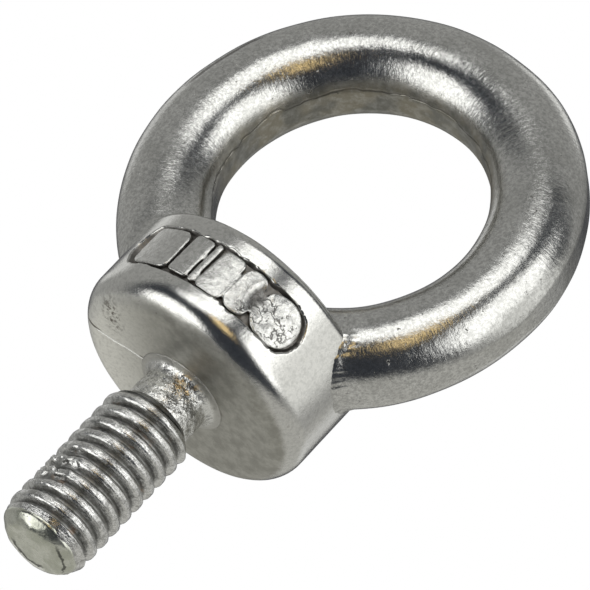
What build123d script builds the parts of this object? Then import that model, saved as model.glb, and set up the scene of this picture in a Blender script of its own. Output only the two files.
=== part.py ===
from build123d import *
from build123d.topology import SkipClean
import math
import os

# A collared eye bolt, cast and polished in stainless steel, with a coarse inch thread.
# Origin: centre of the seat face under the collar, on the shank's axis. +Z runs up through the
# eye, the eye opens along Y, and the marked side of the collar faces -Y. Millimetres.

# ring
BAR_DIAMETER = 8.0
EYE_DIAMETER = 22.0
RING_CENTRE_HEIGHT = 21.7

# collar
COLLAR_DIAMETER = 21.4
COLLAR_HEIGHT = 9.5
SEAT_EDGE_RADIUS = 2.0
TOP_EDGE_RADIUS = 0.9

# recessed panel on the collar's front, and the plain raised marks in it
PANEL_DEPTH = 0.6
PANEL_HEIGHT = 4.5
PANEL_MIDDLE_HEIGHT = 5.25
PANEL_MIDDLE_ANGLE = 4.5
PANEL_HALF_ANGLE = 37.5
MARK_HEIGHT = 0.45
# each mark: name, angle round the collar from the front, width, height, lean in degrees
MARKS = (
    ("bar", -27.0, 3.7, 3.9, 0.0),
    ("bar", -9.8, 1.7, 3.5, -6.0),
    ("bar", 0.0, 0.6, 3.9, -7.0),
    ("bar", 9.6, 1.8, 3.7, -8.0),
    ("oval", 21.8, 1.9, 3.8, -3.0),
    ("oval", 39.8, 3.8, 3.8, 0.0),
)

# neck between the seat and the thread
NECK_DIAMETER = 5.9
NECK_LENGTH = 2.8
NECK_FILLET_RADIUS = 1.05
NECK_ROOT_DEPTH = 0.5

# thread: 5/16-18 UNC, right hand, the crests a little worn
PITCH = 25.4 / 18
CREST_DIAMETER = 7.84
ROOT_DIAMETER = 6.2
CREST_FLAT = 0.22
FLANK_ANGLE = 30.0
STEPS_PER_TURN = 8
THREAD_STEPS = 77
THREAD_RUN_IN = 0.6

# point of the shank
TIP_TOP_DIAMETER = 7.1
TIP_RIM_DIAMETER = 6.4
TIP_TAPER_LENGTH = 0.8
TIP_CROWN_HEIGHT = 0.5

# derived sizes
RING_RADIUS = (EYE_DIAMETER + BAR_DIAMETER) / 2
COLLAR_RADIUS = COLLAR_DIAMETER / 2
PANEL_FLOOR_RADIUS = COLLAR_RADIUS - PANEL_DEPTH
NECK_FOOT_RADIUS = NECK_DIAMETER / 2 + NECK_FILLET_RADIUS
CREST_RADIUS = CREST_DIAMETER / 2
ROOT_RADIUS = ROOT_DIAMETER / 2
STEP_ANGLE = 360.0 / STEPS_PER_TURN
STEP_RISE = PITCH / STEPS_PER_TURN
RIDGE_LENGTH = THREAD_STEPS * STEP_RISE
CORE_LENGTH = RIDGE_LENGTH + 2 * THREAD_RUN_IN
OUTSIDE = COLLAR_RADIUS + 2.0


def plain_collar():
    """A thick disc on the seat plane, with a large seat edge and a small top edge."""
    disc = Cylinder(COLLAR_RADIUS, COLLAR_HEIGHT, align=(Align.CENTER, Align.CENTER, Align.MIN))
    rims = disc.edges().filter_by(GeomType.CIRCLE).sort_by(Axis.Z)
    disc = fillet(rims[0], SEAT_EDGE_RADIUS)
    rims = disc.edges().filter_by(GeomType.CIRCLE).sort_by(Axis.Z)
    return fillet(rims[-1], TOP_EDGE_RADIUS)


def wall_layer(inner_radius, outer_radius):
    """A tube round the shank's axis, as tall as the collar, that cuts shapes to the wall's curve."""
    upright = (Align.CENTER, Align.CENTER, Align.MIN)
    outer = Cylinder(outer_radius, COLLAR_HEIGHT, align=upright)
    return outer - Cylinder(inner_radius, COLLAR_HEIGHT, align=upright)


def on_the_front(angle, shape, lean=0.0):
    """Push a flat outline out from the axis towards -Y, turned round the collar by an angle."""
    solid = extrude(Plane.XZ * (Rot(0, 0, lean) * shape), OUTSIDE)
    return Rot(0, 0, angle) * (Pos(0, 0, PANEL_MIDDLE_HEIGHT) * solid)


def panel_tool():
    """The stadium that is sunk into the wall: a sector of the wall with a round at each end."""
    reach = OUTSIDE * math.tan(math.radians(PANEL_HALF_ANGLE))
    sector = Polyline((0, 0), (reach, -OUTSIDE), (-reach, -OUTSIDE), close=True)
    middle = Pos(0, 0, PANEL_MIDDLE_HEIGHT - PANEL_HEIGHT / 2) * extrude(make_face(sector), PANEL_HEIGHT)
    ends = [on_the_front(side * PANEL_HALF_ANGLE, Circle(PANEL_HEIGHT / 2)) for side in (-1, 1)]
    stadium = Rot(0, 0, PANEL_MIDDLE_ANGLE) * (middle + ends)
    return stadium & wall_layer(PANEL_FLOOR_RADIUS, OUTSIDE)


def collar():
    """The disc with its sunk panel and the shallow seat of the neck's root."""
    root = Cylinder(NECK_FOOT_RADIUS, NECK_ROOT_DEPTH, align=(Align.CENTER, Align.CENTER, Align.MIN))
    return plain_collar() - panel_tool() - root


def raised_marks():
    """Plain bars and ovals that stand up from the panel's floor."""
    layer = wall_layer(PANEL_FLOOR_RADIUS, PANEL_FLOOR_RADIUS + MARK_HEIGHT)
    marks = []
    for shape, angle, width, height, lean in MARKS:
        outline = Rectangle(width, height) if shape == "bar" else Ellipse(width / 2, height / 2)
        marks.append((on_the_front(angle, outline, lean) & layer).solid())
    return Compound(children=marks)


def lifting_ring():
    """The round bar of the eye, cut away where it runs into the collar."""
    bar = Pos(0, 0, RING_CENTRE_HEIGHT) * Rot(90, 0, 0) * Torus(RING_RADIUS, BAR_DIAMETER / 2)
    return bar - plain_collar()


def turned(outline):
    """Revolve an outline of radius and height, drawn flat, round the shank's axis."""
    return revolve(Plane.XZ * make_face(outline), Axis.Z)


def neck():
    """A plain relief under the seat. Its fillet ends outside the thread, and its root is in the collar."""
    radius = NECK_DIAMETER / 2
    rim = (NECK_FOOT_RADIUS, 0)
    waist = (radius, -NECK_FILLET_RADIUS)
    foot = RadiusArc(rim, waist, -NECK_FILLET_RADIUS)
    root = (NECK_FOOT_RADIUS, NECK_ROOT_DEPTH)
    side = Polyline(waist, (radius, -NECK_LENGTH), (0, -NECK_LENGTH), (0, NECK_ROOT_DEPTH), root, rim)
    return turned([foot, side])


def ridge_step():
    """One step of the thread's ridge round the core. Its crest lies on the crest cylinder."""
    inner = ROOT_RADIUS - 0.1
    outer = CREST_RADIUS + 0.1
    slope = math.tan(math.radians(FLANK_ANGLE))
    half_inner = CREST_FLAT / 2 + (CREST_RADIUS - inner) * slope
    half_outer = CREST_FLAT / 2 - (outer - CREST_RADIUS) * slope
    corners = ((inner, half_inner), (outer, half_outer), (outer, -half_outer), (inner, -half_inner))
    profile = make_face(Polyline([(x, 0, z) for x, z in corners], close=True))
    path = Helix(PITCH, STEP_RISE, ROOT_RADIUS)
    crest = Cylinder(CREST_RADIUS, 4 * PITCH)
    return sweep(profile, path, is_frenet=True) & crest


def threaded_shank():
    """A core with a ridge of equal steps round it. The steps keep their own crest faces."""
    top = -NECK_LENGTH
    core = Pos(0, 0, top - CORE_LENGTH / 2) * Cylinder(ROOT_RADIUS, CORE_LENGTH)
    start = top - CORE_LENGTH + THREAD_RUN_IN
    step = ridge_step()
    ridge = [Pos(0, 0, start + i * STEP_RISE) * Rot(0, 0, i * STEP_ANGLE) * step
             for i in range(THREAD_STEPS)]
    with SkipClean():
        return core.fuse(*ridge)


def shank_tip():
    """The tapered end of the shank with a low crown, under the last turn of the thread."""
    top = -NECK_LENGTH - CORE_LENGTH
    rim = (TIP_RIM_DIAMETER / 2, top - TIP_TAPER_LENGTH)
    end = (0, rim[1] - TIP_CROWN_HEIGHT)
    crown_radius = (rim[0] ** 2 + TIP_CROWN_HEIGHT ** 2) / (2 * TIP_CROWN_HEIGHT)
    side = Polyline(end, (0, top), (TIP_TOP_DIAMETER / 2, top), rim)
    return turned([side, RadiusArc(rim, end, crown_radius)])


PARTS = {
    "lifting_ring": lifting_ring,
    "collar": collar,
    "raised_marks": raised_marks,
    "neck": neck,
    "threaded_shank": threaded_shank,
    "shank_tip": shank_tip,
}

os.makedirs("parts", exist_ok=True)
for name, make in PARTS.items():
    export_step(make(), f"parts/{name}.step")
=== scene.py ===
from math import atan2, cos, hypot, pi, radians

import bpy
from mathutils import Matrix, Vector, noise


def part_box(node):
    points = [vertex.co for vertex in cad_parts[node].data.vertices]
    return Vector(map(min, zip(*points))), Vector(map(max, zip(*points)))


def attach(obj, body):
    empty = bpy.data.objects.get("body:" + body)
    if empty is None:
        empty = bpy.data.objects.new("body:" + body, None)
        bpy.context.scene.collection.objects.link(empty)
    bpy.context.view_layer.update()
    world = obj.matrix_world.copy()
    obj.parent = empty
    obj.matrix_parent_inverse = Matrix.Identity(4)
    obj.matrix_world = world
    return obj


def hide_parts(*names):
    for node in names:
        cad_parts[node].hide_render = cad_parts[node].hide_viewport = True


# A collared eye bolt in cast and polished stainless steel. Lengths are in metres. +Z runs up
# through the eye, and the marked side of the collar faces -Y.

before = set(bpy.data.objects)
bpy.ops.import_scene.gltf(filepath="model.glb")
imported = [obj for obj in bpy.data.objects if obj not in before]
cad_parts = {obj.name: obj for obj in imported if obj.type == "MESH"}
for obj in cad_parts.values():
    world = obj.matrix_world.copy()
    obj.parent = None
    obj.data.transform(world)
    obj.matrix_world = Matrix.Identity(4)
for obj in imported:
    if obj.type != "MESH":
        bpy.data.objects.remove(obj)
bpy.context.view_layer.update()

MM = 0.001
TOUCH = 0.01 * MM

# sizes that the pieces take from the solids
_, ring_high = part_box("lifting_ring")
_, collar_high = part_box("collar")
shank_low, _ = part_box("threaded_shank")
tip_low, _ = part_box("shank_tip")

BAR_RADIUS = ring_high.y
RING_RADIUS = ring_high.x - BAR_RADIUS
RING_CENTRE = Vector((0, 0, ring_high.z - RING_RADIUS - BAR_RADIUS))
COLLAR_RADIUS = collar_high.x
COLLAR_TOP = collar_high.z
SHANK_END = shank_low.z
TIP_END = tip_low.z
PITCH = 25.4 / 18 * MM
PANEL_DEPTH = 0.5 * MM
PANEL_HALF_HEIGHT = 2.25 * MM
PANEL_MIDDLE = 5.25 * MM
PANEL_MIDDLE_ANGLE = radians(4.5)
PANEL_HALF_ANGLE = radians(37.5)
PAD_RADIUS = COLLAR_RADIUS - PANEL_DEPTH

# sizes of the turned outlines, in millimetres: radii, and heights from the seat
WALL, TOP = 10.7, 9.5
SEAT_EDGE, TOP_EDGE = 2.3, 0.9
ROOT, ROOT_DEPTH = 4.0, 0.5
WAIST, NECK_END = 2.95, -4
CREST, GROOVE = 3.9, 3.2
CREST_HALF_FLAT, GROOVE_HALF_FLAT = 0.3, 0.1
THREAD_TOP, THREAD_END = -1.5, -17.75
END_RIM, END_EDGE = (2.75, -18.4), (3.55, -17.6)
THREAD_TURNS = 14
PAD_THICKNESS = 0.9

# how far the ring is ground flat, and how far its cutting core stands inside the collar
GROUND_INSIDE, GROUND_OUTSIDE = 0.12 * MM, 0.02 * MM
CORE_INSET = 0.5 * MM

# the patch of knocked crests: degrees round the shank, and millimetres
BRUISE_ANGLE, BRUISE_HEIGHT, BRUISE_REACH = -122, -12.6, 2.4

# the pads in the panel: name, angle round the collar, middle height, width, height, lean,
# narrowing of the top, and corner radius
PADS = (
    ("wide_pad", -26.5, 5.3, 3.95, 4.0, 0, 0.98, 0.8),
    ("second_pad", -8.5, 5.35, 1.85, 3.95, 2, 1, 0.3),
    ("sliver", -0.6, 5.3, 0.55, 4.05, 2, 1, 0.2),
    ("wedge", 8.6, 5.2, 2.45, 4.1, 2, 0.84, 0.5),
    ("oval_pad", 21.8, 5.2, 2.25, 4.2, 2, 1, 1.0),
    ("round_pad", 39.4, 5.2, 4.15, 4.25, 0, 1, 1.85))


# ---------------------------------------------------------------- handling

def use(piece):
    """Leave one piece selected and active."""
    bpy.ops.object.select_all(action="DESELECT")
    piece.select_set(True)
    bpy.context.view_layer.objects.active = piece
    return piece


def start(name):
    """Name the primitive that was just added."""
    piece = bpy.context.active_object
    piece.name = piece.data.name = name
    return use(piece)


def edit(piece, kind="VERT"):
    """Open a piece in edit mode with nothing selected."""
    use(piece)
    bpy.ops.object.mode_set(mode="EDIT")
    bpy.ops.mesh.select_mode(type=kind)
    bpy.ops.mesh.select_all(action="DESELECT")


def done():
    bpy.ops.object.mode_set(mode="OBJECT")


def pick(piece, test, kind="VERT"):
    """Select, in edit mode, the vertices or edges whose middle passes a test."""
    bpy.ops.mesh.select_mode(type=kind)
    bpy.ops.mesh.select_all(action="DESELECT")
    bpy.ops.object.mode_set(mode="OBJECT")
    mesh = piece.data
    if kind == "VERT":
        for v in mesh.vertices:
            v.select = test(v.co)
    else:
        for e in mesh.edges:
            a, b = (mesh.vertices[i].co for i in e.vertices)
            e.select = test((a + b) / 2)
    bpy.ops.object.mode_set(mode="EDIT")


def modify(piece, kind, **settings):
    """Add a modifier, set it and apply it."""
    use(piece)
    modifier = piece.modifiers.new(kind.lower(), kind)
    for key, value in settings.items():
        setattr(modifier, key, value)
    bpy.ops.object.modifier_apply(modifier=modifier.name)


def settle(piece):
    """Put the piece's place into its mesh."""
    use(piece)
    bpy.ops.object.transform_apply(location=True, rotation=True, scale=True)


def close_up(piece):
    """Merge doubles, fill open cuts and turn every face outwards."""
    edit(piece)
    bpy.ops.mesh.select_all(action="SELECT")
    bpy.ops.mesh.remove_doubles(threshold=0.004 * MM)
    bpy.ops.mesh.fill_holes(sides=0)
    bpy.ops.mesh.normals_make_consistent(inside=False)
    done()


def smooth(piece, angle=50):
    use(piece)
    bpy.ops.object.shade_smooth_by_angle(angle=radians(angle))


def discard(piece):
    bpy.data.objects.remove(piece)


def weigh(piece, name, weight):
    """Make a vertex group whose weights come from each vertex's place."""
    group = piece.vertex_groups.new(name=name)
    for v in piece.data.vertices:
        w = weight(v.co)
        if w > 0:
            group.add([v.index], min(1.0, w), "REPLACE")
    return name


def clouds(name, size, depth=2):
    """A soft noise for the Displace modifier."""
    texture = bpy.data.textures.new(name, "CLOUDS")
    texture.noise_scale = size
    texture.noise_depth = depth
    return texture


def ease(value, low, high):
    """0 below low, 1 above high, and a smooth step between them."""
    t = max(0.0, min(1.0, (value - low) / (high - low)))
    return t * t * (3 - 2 * t)


# ---------------------------------------------------------------- turned pieces

def outline(name, points):
    """A chain of vertices in the XZ plane, extruded from the first point to the last."""
    first = Vector((points[0][0], 0, points[0][1])) * MM
    bpy.ops.mesh.primitive_plane_add(size=MM, location=first)
    piece = start(name)
    settle(piece)
    edit(piece)
    bpy.ops.mesh.select_all(action="SELECT")
    bpy.ops.mesh.merge(type="CENTER")
    here = first
    for x, z in points[1:]:
        there = Vector((x, 0, z)) * MM
        bpy.ops.mesh.extrude_region_move(TRANSFORM_OT_translate={"value": there - here})
        here = there
    done()
    return piece


def near(x, z):
    """A test for the outline's corner at a radius and height in millimetres."""
    place = Vector((x, 0, z)) * MM
    return lambda co: (co - place).length < TOUCH


def round_corner(piece, x, z, radius, segments):
    """Round the outline's corner at a radius and height in millimetres."""
    edit(piece)
    pick(piece, near(x, z))
    bpy.ops.mesh.bevel(offset_type="OFFSET", offset=radius * MM, segments=segments,
                       affect="VERTICES")
    done()


def divide(piece, test, cuts):
    """Cut the outline's edges that pass a test into equal lengths."""
    edit(piece, "EDGE")
    pick(piece, test, "EDGE")
    bpy.ops.mesh.subdivide(number_cuts=cuts)
    done()


def turn(piece, steps):
    """Spin the outline round the shank's axis and close the seam."""
    edit(piece)
    bpy.ops.mesh.select_all(action="SELECT")
    bpy.ops.mesh.spin(steps=steps, angle=2 * pi, center=(0, 0, 0), axis=(0, 0, 1))
    done()
    close_up(piece)


# ---------------------------------------------------------------- pieces

def on_front(co):
    """Whether a point is on the front half of the collar's wall."""
    return co.y < 0 and 1.8 * MM < co.z < 8.8 * MM and co.xy.length > 9 * MM


def panel_inside(co):
    """How far a point on the collar's wall is inside the sunk panel's outline, in metres."""
    angle = atan2(co.x, -co.y) - PANEL_MIDDLE_ANGLE
    along = max(0.0, abs(angle) - PANEL_HALF_ANGLE) * COLLAR_RADIUS
    ragged = noise.noise(co / (0.9 * MM)) * 0.16 * MM
    return PANEL_HALF_HEIGHT - hypot(along, co.z - PANEL_MIDDLE) + ragged


def collar():
    """The disc, spun from its outline, with the panel pressed into its front."""
    piece = outline("collar_body", [
        (0, ROOT_DEPTH), (ROOT, ROOT_DEPTH), (ROOT, 0), (WALL, 0), (WALL, TOP), (0, TOP)])
    round_corner(piece, WALL, 0, SEAT_EDGE, 18)
    round_corner(piece, WALL, TOP, TOP_EDGE, 8)
    divide(piece, lambda co: co.x > WALL * MM - TOUCH and 3 * MM < co.z < 8 * MM, 56)
    divide(piece, lambda co: co.z < TOUCH and 4.1 * MM < co.x < 8 * MM, 12)
    divide(piece, lambda co: co.z > TOP * MM - TOUCH and co.x < 9 * MM, 10)
    turn(piece, 600)
    sunk = weigh(piece, "sunk", lambda co: on_front(co) * ease(panel_inside(co), 0, 0.24 * MM))
    panel_floor = weigh(piece, "floor",
                        lambda co: on_front(co) * ease(panel_inside(co), 0.15 * MM, 0.5 * MM))
    modify(piece, "DISPLACE", strength=-PANEL_DEPTH, mid_level=0, vertex_group=sunk)
    modify(piece, "DISPLACE", strength=0.25 * MM, mid_level=0.5, vertex_group=panel_floor,
           texture=clouds("panel_floor", 0.45 * MM))
    modify(piece, "DISPLACE", strength=0.07 * MM, mid_level=0.5,
           texture=clouds("hand_polish", 5 * MM, 1))
    smooth(piece)
    return piece


def raised_pad(name, angle, height, wide, high, lean, narrow, corner):
    """A plate laid out flat, with rounded corners in plan and its face towards -Y.

    The angle and the lean are in degrees, and the sizes are in millimetres.
    """
    place = (radians(angle) * PAD_RADIUS, 0, height * MM - PANEL_MIDDLE)
    bpy.ops.mesh.primitive_cube_add(size=1)
    piece = start(name)
    piece.scale = (wide * MM, PAD_THICKNESS * MM, high * MM)
    settle(piece)
    edit(piece)
    pick(piece, lambda co: co.z > 0)
    bpy.ops.transform.resize(value=(narrow, 1, 1))
    pick(piece, lambda co: abs(co.y) < TOUCH and abs(co.z) > 0.3 * high * MM, "EDGE")
    bpy.ops.mesh.bevel(offset=corner * MM, segments=5, affect="EDGES")
    done()
    piece.rotation_euler = (0, radians(lean), 0)
    piece.location = place
    settle(piece)
    return piece


def raised_marks():
    """Plain cast pads in the panel, laid out flat and wrapped round the wall."""
    pads = [raised_pad(*sizes) for sizes in PADS]
    bpy.ops.object.select_all(action="DESELECT")
    for pad in pads:
        pad.select_set(True)
    bpy.context.view_layer.objects.active = pads[0]
    bpy.ops.object.join()
    piece = start("raised_pads")
    modify(piece, "BEVEL", width=0.12 * MM, segments=3)
    modify(piece, "REMESH", mode="VOXEL", voxel_size=0.085 * MM)
    hollow = weigh(piece, "hollow", pad_hollow)
    modify(piece, "DISPLACE", strength=-0.24 * MM, mid_level=0, vertex_group=hollow)
    rough = weigh(piece, "rough", lambda co: ease(co.x, 4.0 * MM, 5.6 * MM) * 0.6 + 0.4)
    modify(piece, "DISPLACE", strength=0.12 * MM, mid_level=0.5, vertex_group=rough,
           texture=clouds("cast_lumps", 0.8 * MM, 1))
    modify(piece, "SMOOTH", factor=0.5, iterations=2)
    wide = [v.co.x for v in piece.data.vertices]
    modify(piece, "SIMPLE_DEFORM", deform_method="BEND", deform_axis="Z",
           angle=(max(wide) - min(wide)) / PAD_RADIUS)
    edit(piece)
    bpy.ops.mesh.select_all(action="SELECT")
    bpy.ops.transform.translate(value=(0, -PAD_RADIUS, PANEL_MIDDLE))
    done()
    close_up(piece)
    smooth(piece, 80)
    return piece


def pad_hollow(co):
    """The worn hollow between the oval pad and the round one."""
    x = (co.x - radians(27.0) * PAD_RADIUS) / (0.8 * MM)
    z = (co.z - 0.35 * MM) / (1.5 * MM)
    return ease(hypot(x, z), 1.25, 0.45) if co.y < 0 else 0


def above_collar(co):
    """How far a point is from the collar's wall or top, in metres."""
    out, up = co.xy.length - COLLAR_RADIUS, co.z - COLLAR_TOP
    return hypot(max(out, 0), max(up, 0)) if max(out, up) > 0 else max(out, up)


def ring():
    """The round bar of the eye, with ground lands inside and out and a cast foot at the collar."""
    bpy.ops.mesh.primitive_torus_add(
        major_radius=RING_RADIUS, minor_radius=BAR_RADIUS, major_segments=480, minor_segments=160,
        location=RING_CENTRE, rotation=(pi / 2, 0, 0))
    piece = start("eye_ring")
    settle(piece)
    modify(piece, "DISPLACE", strength=0.16 * MM, mid_level=0.5, texture=clouds("bar_waves", 6 * MM, 1))
    land = round_tool("inner_land", RING_RADIUS - BAR_RADIUS + GROUND_INSIDE, (-0.03 * MM, 0))
    modify(piece, "SHRINKWRAP", target=land, wrap_method="NEAREST_SURFACEPOINT", wrap_mode="OUTSIDE")
    discard(land)
    land = round_tool("outer_land", RING_RADIUS + BAR_RADIUS - GROUND_OUTSIDE,
                      (-0.13 * MM, -0.03 * MM))
    modify(piece, "SHRINKWRAP", target=land, wrap_method="NEAREST_SURFACEPOINT", wrap_mode="INSIDE")
    discard(land)
    foot = weigh(piece, "foot",
                 lambda co: (1 - ease(above_collar(co), -0.2 * MM, 0.75 * MM)) ** 2)
    modify(piece, "DISPLACE", strength=0.3 * MM, mid_level=0, vertex_group=foot)
    crease = weigh(piece, "crease",
                   lambda co: 1 - ease(abs(above_collar(co) - 0.25 * MM), 0.1 * MM, 0.6 * MM))
    modify(piece, "DISPLACE", strength=0.3 * MM, mid_level=0.5, vertex_group=crease,
           texture=clouds("crease_beads", 0.35 * MM))
    bpy.ops.mesh.primitive_cylinder_add(
        vertices=96, radius=COLLAR_RADIUS - CORE_INSET, depth=COLLAR_TOP - 2 * CORE_INSET,
        location=(0, 0, COLLAR_TOP / 2))
    core = start("collar_core")
    settle(core)
    modify(piece, "BOOLEAN", operation="DIFFERENCE", object=core, solver="EXACT")
    discard(core)
    smooth(piece)
    return piece


def round_tool(name, radius, shift):
    """A smooth cylinder along Y round the ring's centre, to press a land against."""
    bpy.ops.mesh.primitive_cylinder_add(vertices=512, radius=radius, depth=20 * MM,
                                        location=RING_CENTRE + Vector((shift[0], 0, shift[1])),
                                        rotation=(pi / 2, 0, 0))
    tool = start(name)
    settle(tool)
    return tool


def neck():
    """The rough cast relief under the seat."""
    piece = outline("neck_body", [
        (0, 0.45), (ROOT, 0.45), (ROOT, -0.1), (WAIST, -0.2), (WAIST, NECK_END), (0, NECK_END)])
    round_corner(piece, WAIST, -0.2, 0.8, 10)
    round_corner(piece, ROOT, -0.1, 0.09, 3)
    divide(piece, lambda co: co.x > 2.9 * MM and co.z < -1.01 * MM, 24)
    turn(piece, 192)
    free = weigh(piece, "free", lambda co: ease(-co.z, 0, 0.8 * MM))
    modify(piece, "DISPLACE", strength=0.14 * MM, mid_level=0.5, vertex_group=free,
           texture=clouds("neck_lumps", 1.1 * MM, 1))
    smooth(piece)
    return piece


def blank():
    """The turned blank for the thread: it runs out at the neck, with a chamfer at the point."""
    piece = outline("thread_blank", [
        (0, -1), (2.3, -1), (2.3, -2.6), (3.94, -4.3), (3.94, -16.5), (3.15, -18.2), (0, -18.2)])
    turn(piece, 256)
    return piece


def thread():
    """One ridge of the thread, screwed down the shank and kept inside the turned blank."""
    half = PITCH / MM / 2
    flank = half - GROOVE_HALF_FLAT
    piece = outline("thread_ridge", [
        (GROOVE, -half), (GROOVE, -flank), (CREST, -CREST_HALF_FLAT),
        (CREST, CREST_HALF_FLAT), (GROOVE, flank), (GROOVE, half)])
    for side in (-1, 1):
        round_corner(piece, CREST, side * CREST_HALF_FLAT, 0.17, 4)
        round_corner(piece, GROOVE, side * flank, 0.09, 3)
    divide(piece, lambda co: 3.3 * MM < co.x < 3.75 * MM, 4)
    edit(piece)
    bpy.ops.mesh.select_all(action="SELECT")
    bpy.ops.transform.translate(value=(0, 0, SHANK_END - 1.5 * PITCH))
    done()
    modify(piece, "SCREW", axis="Z", angle=2 * pi, screw_offset=PITCH, iterations=THREAD_TURNS,
           steps=120, render_steps=120, use_merge_vertices=True, merge_threshold=0.002 * MM)
    trim(piece, (0, 0, THREAD_TOP), (0, 0, 1))
    trim(piece, (0, 0, THREAD_END), (0, 0, -1))
    close_up(piece)
    limit = blank()
    modify(piece, "SHRINKWRAP", target=limit, wrap_method="NEAREST_SURFACEPOINT", wrap_mode="INSIDE")
    discard(limit)
    modify(piece, "DISPLACE", strength=0.1 * MM, mid_level=0.5,
           texture=clouds("rolled_waves", 1.6 * MM))
    bruise = weigh(piece, "bruise", thread_bruise)
    modify(piece, "DISPLACE", strength=-0.8 * MM, mid_level=0.3, vertex_group=bruise,
           texture=clouds("bruises", 0.7 * MM))
    smooth(piece, 80)
    return piece


def thread_bruise(co):
    """The knocked crests on one side of the shank."""
    side = atan2(co.y, co.x) - radians(BRUISE_ANGLE)
    across = abs((side + pi) % (2 * pi) - pi) * 3.5
    down = abs(co.z / MM - BRUISE_HEIGHT)
    patch = ease(hypot(across / BRUISE_REACH, down / BRUISE_REACH), 1.2, 0.5)
    return patch * ease(co.xy.length, 3.25 * MM, 3.5 * MM)


def trim(piece, place, outwards):
    """Cut a piece off flat at a place in millimetres, and leave the cut open."""
    edit(piece)
    bpy.ops.mesh.select_all(action="SELECT")
    bpy.ops.mesh.bisect(plane_co=Vector(place) * MM, plane_no=Vector(outwards).normalized(),
                        clear_outer=True)
    done()


def tip():
    """The point of the shank: a domed end with two flats knocked into its rim."""
    piece = outline("shank_point", [(0, -18.52), END_RIM, END_EDGE, (3.5, -17.2), (0, -17.2)])
    round_corner(piece, *END_RIM, 0.5, 8)
    round_corner(piece, *END_EDGE, 0.2, 5)
    divide(piece, lambda co: co.z < -18.4 * MM and co.x < 1.9 * MM, 16)
    turn(piece, 200)
    modify(piece, "DISPLACE", strength=0.2 * MM, mid_level=0.5,
           texture=clouds("sawn_end", 1.5 * MM, 1))
    trim(piece, (1.4, 2.42, -18.1), (0.48, 0.84, -0.2))
    close_up(piece)
    trim(piece, (-1.3, 2.2, -18.38), (-0.2, 0.3, -0.93))
    close_up(piece)
    smooth(piece, 25)
    return piece


# ---------------------------------------------------------------- finishes

class Tree:
    """Adds and joins shader nodes."""

    def __init__(self, owner):
        self.tree = owner.node_tree
        self.nodes = owner.node_tree.nodes

    def add(self, kind, **settings):
        node = self.nodes.new(kind)
        for key, value in settings.items():
            setattr(node, key, value)
        return node

    def feed(self, socket, value):
        if hasattr(value, "is_output"):
            self.tree.links.new(value, socket)
        else:
            socket.default_value = value

    def math(self, operation, a, b=0.0):
        node = self.add("ShaderNodeMath", operation=operation)
        for socket, value in zip(node.inputs, (a, b)):
            self.feed(socket, value)
        return node.outputs[0]

    def dot(self, a, b):
        node = self.add("ShaderNodeVectorMath", operation="DOT_PRODUCT")
        self.feed(node.inputs[0], a)
        self.feed(node.inputs[1], b)
        return node.outputs["Value"]

    def vector(self, operation, a, b=(0, 0, 0)):
        node = self.add("ShaderNodeVectorMath", operation=operation)
        self.feed(node.inputs[0], a)
        self.feed(node.inputs[1], b)
        return node.outputs["Vector"]

    def split(self, vector):
        node = self.add("ShaderNodeSeparateXYZ")
        self.feed(node.inputs[0], vector)
        return node.outputs

    def join(self, *values):
        node = self.add("ShaderNodeCombineXYZ")
        for socket, value in zip(node.inputs, values):
            self.feed(socket, value)
        return node.outputs[0]

    def noise(self, vector, scale, detail, roughness):
        node = self.add("ShaderNodeTexNoise")
        settings = {"Vector": vector, "Scale": scale, "Detail": detail, "Roughness": roughness}
        for key, value in settings.items():
            self.feed(node.inputs[key], value)
        return node.outputs["Fac"]

    def step(self, value, low, high, out_low=0.0, out_high=1.0):
        node = self.add("ShaderNodeMapRange", interpolation_type="SMOOTHSTEP")
        for socket, v in zip(node.inputs, (value, low, high, out_low, out_high)):
            self.feed(socket, v)
        return node.outputs[0]

    def mix(self, factor, a, b):
        node = self.add("ShaderNodeMix", data_type="RGBA")
        self.feed(node.inputs[0], factor)
        self.feed(node.inputs[6], a)
        self.feed(node.inputs[7], b)
        return node.outputs[2]


def finish(name):
    """A new metal finish: its node tree, its shader and the piece's place in millimetres."""
    material = bpy.data.materials.new(name)
    material.use_nodes = True
    t = Tree(material)
    shader = t.nodes["Principled BSDF"]
    shader.inputs["Metallic"].default_value = 1
    place = t.vector("MULTIPLY", t.add("ShaderNodeTexCoord").outputs["Object"], (1 / MM,) * 3)
    return material, t, shader, place


def relief(t, shader, *layers):
    """Bump layers of (height, depth in millimetres), one over the other."""
    normal = None
    for height, depth in layers:
        bump = t.add("ShaderNodeBump")
        bump.inputs["Strength"].default_value = 1
        bump.inputs["Distance"].default_value = depth * MM
        t.feed(bump.inputs["Height"], height)
        if normal:
            t.feed(bump.inputs["Normal"], normal)
        normal = bump.outputs[0]
    t.feed(shader.inputs["Normal"], normal)


def length(t, a, b):
    """The length of the vector (a, b)."""
    return t.math("SQRT", t.math("ADD", t.math("MULTIPLY", a, a), t.math("MULTIPLY", b, b)))


def band(t, value, low, high, soft):
    """1 between low and high, with soft ends."""
    above = t.step(value, low - soft, low + soft)
    return t.math("MULTIPLY", above, t.step(value, high + soft, high - soft))


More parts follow.
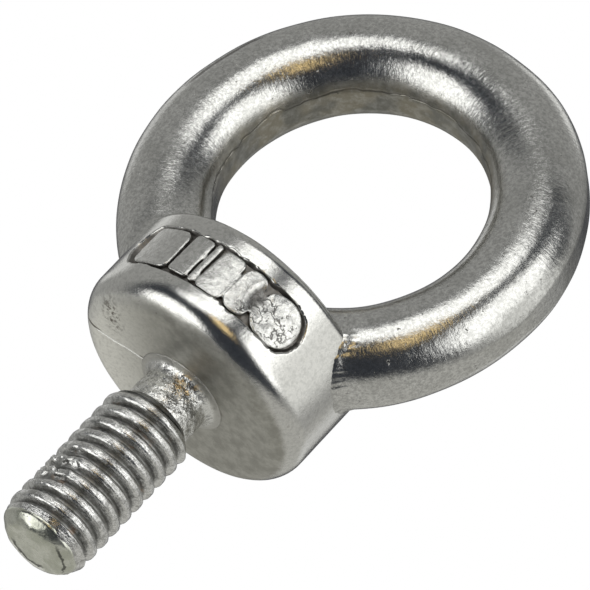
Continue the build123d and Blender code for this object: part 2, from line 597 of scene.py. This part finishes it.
def ring_steel():
    """Polished casting: scratches run round the bar, and the upper inner wall with its ground land is
    rougher and darker, partly cast skin and partly painted shade.
    """
    material, t, shader, place = finish("ring_steel")
    x, y, z = t.split(place)
    z = t.math("SUBTRACT", z, RING_CENTRE.z / MM)
    out = t.math("SUBTRACT", length(t, x, z), RING_RADIUS / MM)
    turned = t.math("ARCTAN2", z, x)
    along = t.math("MULTIPLY", turned, RING_RADIUS / MM)
    round_bar = t.vector("MULTIPLY", t.join(along, out, y), (3.6, 0.9, 0.9))
    fine = t.vector("MULTIPLY", t.join(along, out, y), (9.0, 1.6, 1.6))
    scratches = t.noise(round_bar, 1, 3, 0.7)
    hairlines = t.noise(fine, 1, 2, 0.6)
    grain = t.noise(place, 4.2, 4, 0.75)
    dents = t.noise(place, 1.5, 2, 0.5)
    waves = t.noise(place, 0.35, 2, 0.5)
    mottle = t.noise(place, 3.4, 5, 0.8)
    pits = t.step(t.noise(place, 1.9, 3, 0.6), 0.68, 0.74)
    cast = t.step(t.noise(place, 1.2, 3, 0.6), 0.3, 0.6, 0.7, 1.0)
    # the upper inner wall: rougher cast skin, darkened partly as the skin's own colour and partly as
    # painted shade
    inside = t.math("MULTIPLY", t.step(out, -2.6, -3.7), t.step(y, -3.0, -1.4))
    inside = t.math("MULTIPLY", t.math("MULTIPLY", inside, cast), t.step(z, -8.0, -1.0))
    edge = t.math("ADD", t.math("ADD", y, 1.25), t.math("MULTIPLY", t.math("SUBTRACT", waves, 0.5), 1.6))
    groove = t.math("MULTIPLY", band(t, edge, -0.07, 0.07, 0.07), t.step(out, -3.0, -3.3))
    seam = t.math("ADD", y, t.math("ADD", 3.28, t.math("MULTIPLY", t.math("SUBTRACT", waves, 0.5), 0.5)))
    seam = t.math("MULTIPLY", band(t, seam, -0.12, 0.12, 0.05), t.step(out, 0.0, 1.0))
    seam = t.math("MULTIPLY", seam, band(t, turned, 2.66, 3.08, 0.05))

    colour = t.mix(t.step(mottle, 0.36, 0.64), (0.42, 0.42, 0.41, 1), (0.68, 0.68, 0.665, 1))
    colour = t.mix(t.step(waves, 0.62, 0.3, 0, 0.35), colour, (0.36, 0.36, 0.345, 1))
    # the upper inner wall's dark colour: partly cast skin, partly painted shade from the ring's own
    # shadow
    ground = t.mix(t.step(waves, 0.4, 0.6), (0.15, 0.148, 0.13, 1), (0.24, 0.22, 0.17, 1))
    colour = t.mix(t.math("MULTIPLY", inside, 0.9), colour, ground)
    dark = t.math("MAXIMUM", t.math("MULTIPLY", groove, 0.6), seam)
    dark = t.math("MAXIMUM", t.math("MULTIPLY", pits, 0.6), dark)
    colour = t.mix(dark, colour, (0.09, 0.085, 0.075, 1))
    t.feed(shader.inputs["Base Color"], colour)
    roughness = t.math("ADD", t.step(waves, 0.25, 0.75, 0.13, 0.19), t.math("MULTIPLY", hairlines, 0.06))
    roughness = t.math("ADD", roughness, t.math("MULTIPLY", inside, 0.2))
    t.feed(shader.inputs["Roughness"], roughness)
    relief(t, shader, (scratches, 0.018), (hairlines, 0.005), (grain, 0.013), (dents, 0.022),
           (t.math("MAXIMUM", pits, t.math("MAXIMUM", groove, seam)), -0.05))
    return material


def collar_steel():
    """Polished wall, satin seat with painted light making it lighter towards -X and a painted highlight
    along a scratched line, and a grimy sunk panel.
    """
    material, t, shader, place = finish("collar_steel")
    x, y, z = t.split(place)
    reach = length(t, x, y)
    grain = t.noise(place, 4.2, 4, 0.75)
    fine = t.noise(place, 14, 2, 0.6)
    waves = t.noise(place, 0.45, 2, 0.5)
    stains = t.noise(place, 0.8, 4, 0.65)
    mottle = t.noise(place, 2.6, 5, 0.78)
    specks = t.step(t.noise(place, 2.6, 3, 0.6), 0.64, 0.72)
    seat = t.step(t.math("ADD", z, t.math("MULTIPLY", stains, 0.4)), 0.95, 0.5)
    on_wall = t.math("MULTIPLY", t.step(z, 2.2, 2.6), t.step(z, 8.3, 7.9))
    sunk = t.math("MULTIPLY", t.step(reach, 10.65, 10.55), on_wall)
    scratch_glint, shade = seat_scratch(t, x, y)

    colour = t.mix(t.step(mottle, 0.34, 0.62), (0.52, 0.52, 0.505, 1), (0.65, 0.648, 0.63, 1))
    # the seat's colour: stains and random tone, with painted light that makes it lighter towards -X
    seat_tone_and_light = t.mix(t.step(stains, 0.35, 0.65), (0.34, 0.335, 0.305, 1), (0.47, 0.465, 0.43, 1))
    # painted light: the seat is painted nearly white towards -X as a painted reflection
    to_left = t.step(t.math("ADD", x, t.math("MULTIPLY", stains, 4)), 2.0, -7.0)
    seat_tone_and_light = t.mix(to_left, seat_tone_and_light, (0.93, 0.925, 0.88, 1))
    seat_tone_and_light = t.mix(t.step(mottle, 0.58, 0.3, 0, 0.35), seat_tone_and_light, (0.25, 0.245, 0.225, 1))
    colour = t.mix(seat, colour, seat_tone_and_light)
    patch = length(t, t.math("ADD", x, 6.2), t.math("MULTIPLY", t.math("ADD", y, 5.2), 0.5))
    patch = t.math("MULTIPLY", t.step(patch, 1.5, 0.4), t.step(t.noise(place, 2.1, 4, 0.75), 0.5, 0.57))
    patch = t.math("MULTIPLY", t.math("MULTIPLY", patch, seat), 0.9)
    # dark specks and a brown patch, and painted shade beside the scratched line
    dirt_and_shade = t.math("MAXIMUM", t.math("MULTIPLY", specks, 0.3), patch)
    dirt_and_shade = t.math("MAXIMUM", dirt_and_shade, t.math("MULTIPLY", shade, seat))
    colour = t.mix(dirt_and_shade, colour, (0.1, 0.08, 0.06, 1))
    # painted highlight: the scratched line is painted nearly white
    colour = t.mix(t.math("MULTIPLY", scratch_glint, seat), colour, (0.97, 0.97, 0.95, 1))
    colour = t.mix(t.math("MULTIPLY", sunk, 0.85), colour, (0.14, 0.13, 0.12, 1))
    t.feed(shader.inputs["Base Color"], colour)
    roughness = t.math("ADD", t.math("MULTIPLY", seat, 0.26), t.step(waves, 0.25, 0.75, 0.12, 0.18))
    roughness = t.math("ADD", roughness, t.math("MULTIPLY", sunk, 0.3))
    t.feed(shader.inputs["Roughness"], roughness)
    relief(t, shader, (grain, 0.014), (t.math("MULTIPLY", fine, t.math("ADD", seat, 0.15)), 0.014),
           (t.math("MULTIPLY", scratch_glint, seat), -0.06))
    return material


def seat_scratch(t, x, y):
    """One long scratched line across the seat, from its edge to the neck, painted as a bright highlight,
    and painted shade along one side of it at its ends.
    """
    line = t.math("SUBTRACT", t.math("ADD", y, 1.98), t.math("MULTIPLY", t.math("ADD", x, 8.6), 0.085))
    line = t.math("ADD", line, t.math("MULTIPLY", t.math("SINE", t.math("MULTIPLY", x, 2.1)), 0.05))
    # painted highlight along the line
    nick_glint = t.math("MULTIPLY", band(t, line, -0.1, 0.1, 0.05), band(t, x, -8.4, -3.2, 0.3))
    # painted shade along one side of the line at its two ends
    shade = t.math("MULTIPLY", band(t, line, -0.24, 0.02, 0.05),
                   t.math("MAXIMUM", band(t, x, -9.6, -7.9, 0.2), band(t, x, -4.0, -3.4, 0.15)))
    return nick_glint, shade


def pad_steel():
    """The cast pads: polished tops, dark edges and dark cracks in the round one."""
    material, t, shader, place = finish("pad_steel")
    x, y, z = t.split(place)
    reach = length(t, x, y)
    grain = t.noise(place, 4.5, 4, 0.75)
    mottle = t.noise(place, 2.6, 5, 0.75)
    cracks = t.math("ABSOLUTE", t.math("SUBTRACT", t.noise(place, 0.75, 3, 0.6), 0.5))
    cracks = t.math("MULTIPLY", t.step(cracks, 0.022, 0.006), band(t, x, 4.2, 8.0, 0.6))
    cracks = t.math("MULTIPLY", cracks, band(t, z, 3.4, 6.2, 0.4))
    side = t.step(reach, 10.56, 10.4)
    colour = t.mix(t.step(mottle, 0.34, 0.62), (0.5, 0.5, 0.485, 1), (0.66, 0.66, 0.645, 1))
    colour = t.mix(t.math("MAXIMUM", t.math("MULTIPLY", side, 0.8), t.math("MULTIPLY", cracks, 0.85)),
                   colour, (0.11, 0.105, 0.1, 1))
    t.feed(shader.inputs["Base Color"], colour)
    t.feed(shader.inputs["Roughness"], t.step(grain, 0.3, 0.7, 0.15, 0.26))
    relief(t, shader, (grain, 0.022), (mottle, 0.03), (cracks, -0.05))
    return material


def neck_steel():
    """The cast relief: bright lumps, dark hollows and a painted warm reflection under the seat."""
    material, t, shader, place = finish("neck_steel")
    x, y, z = t.split(place)
    lumps = t.noise(place, 1.7, 3, 0.6)
    grain = t.noise(place, 5, 3, 0.7)
    hollow = t.step(t.noise(place, 1.4, 3, 0.6), 0.5, 0.34)
    # painted reflection: a warm yellow patch painted on the neck just under the seat
    warm_reflection = t.math("MULTIPLY", t.step(z, -1.9, -1.2), t.step(t.noise(place, 2.2, 3, 0.6), 0.5, 0.58))
    warm_reflection = t.math("MULTIPLY", warm_reflection, band(t, t.math("ARCTAN2", y, x), -1.35, -0.75, 0.2))
    foot = t.step(z, -0.35, -0.1)
    colour = t.mix(t.step(grain, 0.35, 0.65), (0.60, 0.60, 0.585, 1), (0.80, 0.80, 0.78, 1))
    colour = t.mix(t.math("MULTIPLY", hollow, 0.5), colour, (0.14, 0.14, 0.145, 1))
    colour = t.mix(t.math("MULTIPLY", warm_reflection, 0.8), colour, (0.85, 0.6, 0.28, 1))
    colour = t.mix(foot, colour, (0.47, 0.465, 0.44, 1))
    t.feed(shader.inputs["Base Color"], colour)
    roughness = t.math("ADD", t.step(grain, 0.3, 0.7, 0.2, 0.3), t.math("MULTIPLY", foot, 0.12))
    t.feed(shader.inputs["Roughness"], roughness)
    relief(t, shader, (lumps, 0.16), (grain, 0.02))
    return material


def thread_steel():
    """Rolled thread: bright rubbed crests, roots darkened partly by grime and partly by painted shade,
    fine lines along the ridge, a little rust.
    """
    material, t, shader, place = finish("thread_steel")
    x, y, z = t.split(place)
    reach = length(t, x, y)
    lift = t.math("DIVIDE", t.math("ARCTAN2", y, x), 2 * pi)
    profile = t.math("FRACT", t.math("SUBTRACT", t.math("DIVIDE", z, PITCH / MM), lift))
    drawn = t.math("ADD", y, t.math("MULTIPLY", z, 0.6))
    lines = t.noise(t.join(x, drawn, t.math("MULTIPLY", profile, 11)), 0.9, 3, 0.65)
    grain = t.noise(place, 4.5, 3, 0.7)
    dents = t.noise(place, 1.6, 2, 0.5)
    grime = t.noise(place, 1.1, 4, 0.7)
    # the roots: darkened partly as grime and partly as painted shade in the grooves
    root = t.math("ADD", reach, t.math("MULTIPLY", t.math("SUBTRACT", grain, 0.5), 0.35))
    root = t.math("MULTIPLY", t.step(root, 3.58, 3.3), t.step(z, -17.5, -17.3))
    rust = t.math("MULTIPLY", root, t.step(t.noise(place, 0.8, 3, 0.6), 0.6, 0.68))

    colour = t.mix(t.step(grain, 0.35, 0.65), (0.52, 0.52, 0.51, 1), (0.76, 0.76, 0.75, 1))
    colour = t.mix(t.math("MULTIPLY", t.step(grime, 0.5, 0.62), 0.5), colour, (0.2, 0.2, 0.19, 1))
    colour = t.mix(t.math("MULTIPLY", root, 0.65), colour, (0.1, 0.1, 0.095, 1))
    colour = t.mix(t.math("MULTIPLY", rust, 0.35), colour, (0.35, 0.2, 0.1, 1))
    t.feed(shader.inputs["Base Color"], colour)
    roughness = t.math("ADD", t.step(lines, 0.3, 0.7, 0.14, 0.24), t.math("MULTIPLY", root, 0.15))
    t.feed(shader.inputs["Roughness"], roughness)
    relief(t, shader, (lines, 0.06), (grain, 0.014), (dents, 0.03))
    return material


def tip_steel():
    """The sawn end: satin, slightly green-grey; along one side of its rim a slight groove painted dark
    as shade, with a painted highlight outside it, and painted shade at the rim on the other side.
    """
    material, t, shader, place = finish("tip_steel")
    x, y, _ = t.split(place)
    grain = t.noise(place, 4.5, 3, 0.7)
    slow = t.noise(place, 0.7, 3, 0.6)
    waves = t.noise(place, 1.5, 2, 0.5)
    rim = t.math("ADD", length(t, x, y), t.math("MULTIPLY", t.math("SUBTRACT", waves, 0.5), 0.5))
    side = t.math("ARCTAN2", y, x)
    # painted shade: a dark line along one side of the rim, over a slight groove
    burr_shade = t.math("MULTIPLY", band(t, rim, 1.82, 2.12, 0.05), band(t, side, 1.2, 3.05, 0.15))
    # painted highlight: a bright band just outside that dark line
    lip_highlight = t.math("MULTIPLY", band(t, rim, 2.17, 2.8, 0.05), band(t, side, 1.2, 2.9, 0.15))
    # painted shade: a dark line at the rim on the other side
    flank = t.math("MULTIPLY", band(t, rim, 2.9, 3.05, 0.04), band(t, side, -0.6, 0.5, 0.2))

    colour = t.mix(t.step(slow, 0.35, 0.62), (0.50, 0.515, 0.44, 1), (0.68, 0.69, 0.62, 1))
    colour = t.mix(t.step(grain, 0.62, 0.4, 0, 0.25), colour, (0.38, 0.38, 0.35, 1))
    colour = t.mix(t.math("MULTIPLY", lip_highlight, 0.8), colour, (0.95, 0.95, 0.93, 1))
    dark = t.math("MULTIPLY", t.math("MAXIMUM", burr_shade, flank), 0.85)
    colour = t.mix(dark, colour, (0.06, 0.06, 0.055, 1))
    t.feed(shader.inputs["Base Color"], colour)
    t.feed(shader.inputs["Roughness"], t.step(waves, 0.3, 0.7, 0.22, 0.34))
    relief(t, shader, (waves, 0.05), (grain, 0.014), (burr_shade, -0.06))
    return material


# ---------------------------------------------------------------- studio

def camera():
    """A long lens below and in front of the marked side, rolled to show the shank at lower left."""
    data = bpy.data.cameras.new("camera")
    data.sensor_width = 36
    data.lens = 488.1
    data.clip_start = 0.01
    data.clip_end = 20
    eye = bpy.data.objects.new("camera", data)
    bpy.context.scene.collection.objects.link(eye)
    right = Vector((0.77359, 0.12059, 0.62211))
    down = Vector((0.43462, 0.61347, -0.65937))
    back = right.cross(-down).normalized()
    turned = Matrix((right, -down, back)).transposed().to_4x4()
    turned.translation = Vector((292.815, -492.991, -254.250)) * MM
    eye.matrix_world = turned
    bpy.context.scene.camera = eye
    return right, down, back


def studio(right, down, back):
    """Grey surroundings with soft boxes near the camera, and white behind the bolt."""
    world = bpy.data.worlds.new("studio")
    bpy.context.scene.world = world
    world.use_nodes = True
    t = Tree(world)
    t.nodes.clear()
    direction = t.add("ShaderNodeTexCoord").outputs["Generated"]
    half = t.vector("NORMALIZE", t.vector("ADD", direction, tuple(back)))
    x, y = t.dot(half, tuple(right)), t.dot(half, tuple(down))

    def oval(cx, cy, rx, ry, soft):
        a = t.math("DIVIDE", t.math("SUBTRACT", x, cx), rx)
        b = t.math("DIVIDE", t.math("SUBTRACT", y, cy), ry)
        r = t.math("SQRT", t.math("ADD", t.math("MULTIPLY", a, a), t.math("MULTIPLY", b, b)))
        return t.step(r, 1 + soft, 1 - soft)

    light = (0.40, 0.40, 0.385, 1)
    pale = (0.56, 0.555, 0.52, 1)
    dim = (0.2, 0.2, 0.195, 1)
    dark = (0.045, 0.05, 0.06, 1)
    white = (2.0, 2.0, 1.95, 1)
    # the surroundings: lighter below, dim at the far right
    colour = t.mix(t.step(y, 0.38, 0.5), light, pale)
    colour = t.mix(t.math("MULTIPLY", t.step(x, 0.84, 0.93), t.step(y, -0.6, -0.3)), colour, dim)
    rim = t.math("MULTIPLY", t.step(length(t, x, y), 0.955, 0.975), t.step(x, 0.45, 0.6))
    rim = t.math("MULTIPLY", rim, t.step(y, 0.3, 0.15))
    colour = t.mix(rim, colour, dark)
    # the dark studio round the camera, open at its right below the box
    hood = t.math("MULTIPLY", oval(0, 0, 0.77, 0.6, 0.07), t.step(y, 0.43, 0.41))
    slant = t.math("SUBTRACT", x, t.math("MULTIPLY", t.math("MAXIMUM", y, 0.0), 0.45))
    gap = t.math("MULTIPLY", t.step(slant, 0.17, 0.22), t.step(y, -0.08, 0.0))
    hood = t.math("MULTIPLY", hood, t.math("SUBTRACT", 1.0, gap))
    colour = t.mix(hood, colour, dark)
    boxes = ((-0.49, 0.01, 0.19, 0.24), (0.42, -0.02, 0.2, 0.29), (-0.01, -0.43, 0.24, 0.13))
    for cx, cy, rx, ry in boxes:
        colour = t.mix(oval(cx, cy, rx, ry, 0.12), colour, white)
    # behind the bolt: a dark gap between three dimmer soft boxes, with the degrees of their edges
    lamps = (
        (-back, 20, 26, (0.1, 0.1, 0.105, 1)),
        (Vector((-0.23, 0.39, 0.89)), 8, 12, (1.1, 1.1, 1.07, 1)),
        (Vector((0.16, 0.93, 0.34)), 7, 13, (0.75, 0.75, 0.73, 1)),
        (Vector((-0.88, 0.32, 0.34)), 9, 14, (0.8, 0.8, 0.78, 1)))
    for towards, inner, outer, shade in lamps:
        facing = t.dot(direction, tuple(towards.normalized()))
        colour = t.mix(t.step(facing, cos(radians(outer)), cos(radians(inner))), colour, shade)
    colour = t.mix(oval(0.62, 0.14, 0.16, 0.22, 0.35), colour, (1.05, 1.05, 1.01, 1))
    colour = t.mix(oval(0.035, -0.19, 0.05, 0.11, 0.4), colour, (1.75, 1.3, 0.62, 1))

    seen = t.add("ShaderNodeLightPath").outputs["Is Camera Ray"]
    surroundings = t.add("ShaderNodeBackground")
    t.feed(surroundings.inputs["Color"], colour)
    plain = t.add("ShaderNodeBackground")
    plain.inputs["Color"].default_value = (1, 1, 1, 1)
    both = t.add("ShaderNodeMixShader")
    t.feed(both.inputs[0], seen)
    t.feed(both.inputs[1], surroundings.outputs[0])
    t.feed(both.inputs[2], plain.outputs[0])
    t.feed(t.add("ShaderNodeOutputWorld").inputs["Surface"], both.outputs[0])


def floor():
    """A pale floor, clear from below and fading into the white, and a soft lamp above."""
    bpy.ops.mesh.primitive_plane_add(size=1.6, location=(0, 0, TIP_END - 0.05 * MM))
    ground = start("floor")
    settle(ground)
    for ray in ("glossy", "diffuse", "transmission", "shadow"):
        setattr(ground, "visible_" + ray, False)
    material = bpy.data.materials.new("pale_floor")
    material.use_nodes = True
    t = Tree(material)
    paper = t.nodes["Principled BSDF"]
    place = t.add("ShaderNodeTexCoord").outputs["Object"]
    grain = t.noise(place, 40, 3, 0.6)
    t.feed(paper.inputs["Base Color"], t.mix(grain, (0.80, 0.80, 0.79, 1), (0.84, 0.84, 0.83, 1)))
    paper.inputs["Roughness"].default_value = 0.8
    x, y, _ = t.split(place)
    faded = t.step(length(t, x, y), 0.05, 0.3)
    underside = t.add("ShaderNodeNewGeometry").outputs["Backfacing"]
    clear = t.add("ShaderNodeBsdfTransparent")
    both = t.add("ShaderNodeMixShader")
    t.feed(both.inputs[0], t.math("MAXIMUM", faded, underside))
    t.feed(both.inputs[1], paper.outputs[0])
    t.feed(both.inputs[2], clear.outputs[0])
    t.feed(t.nodes["Material Output"].inputs["Surface"], both.outputs[0])
    ground.data.materials.append(material)
    lamp = bpy.data.lights.new("overhead", "AREA")
    lamp.size = 0.3
    lamp.energy = 1.5
    above = bpy.data.objects.new("overhead", lamp)
    above.location = (0, 0, 0.4)
    above.visible_glossy = False
    bpy.context.scene.collection.objects.link(above)


# ---------------------------------------------------------------- assembly

bpy.ops.object.select_all(action="DESELECT")
right, down, back = camera()
studio(right, down, back)
floor()
bpy.context.scene.view_settings.view_transform = "Standard"

for piece, node, slot, material in (
        (ring(), "lifting_ring", "polished_steel", ring_steel()),
        (collar(), "collar", "polished_steel", collar_steel()),
        (raised_marks(), "raised_marks", "cast_steel", pad_steel()),
        (neck(), "neck", "cast_steel", neck_steel()),
        (thread(), "threaded_shank", "thread_steel", thread_steel()),
        (tip(), "shank_tip", "thread_steel", tip_steel())):
    piece.data.materials.clear()
    piece.data.materials.append(material)
    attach(piece, "root")
    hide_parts(node)
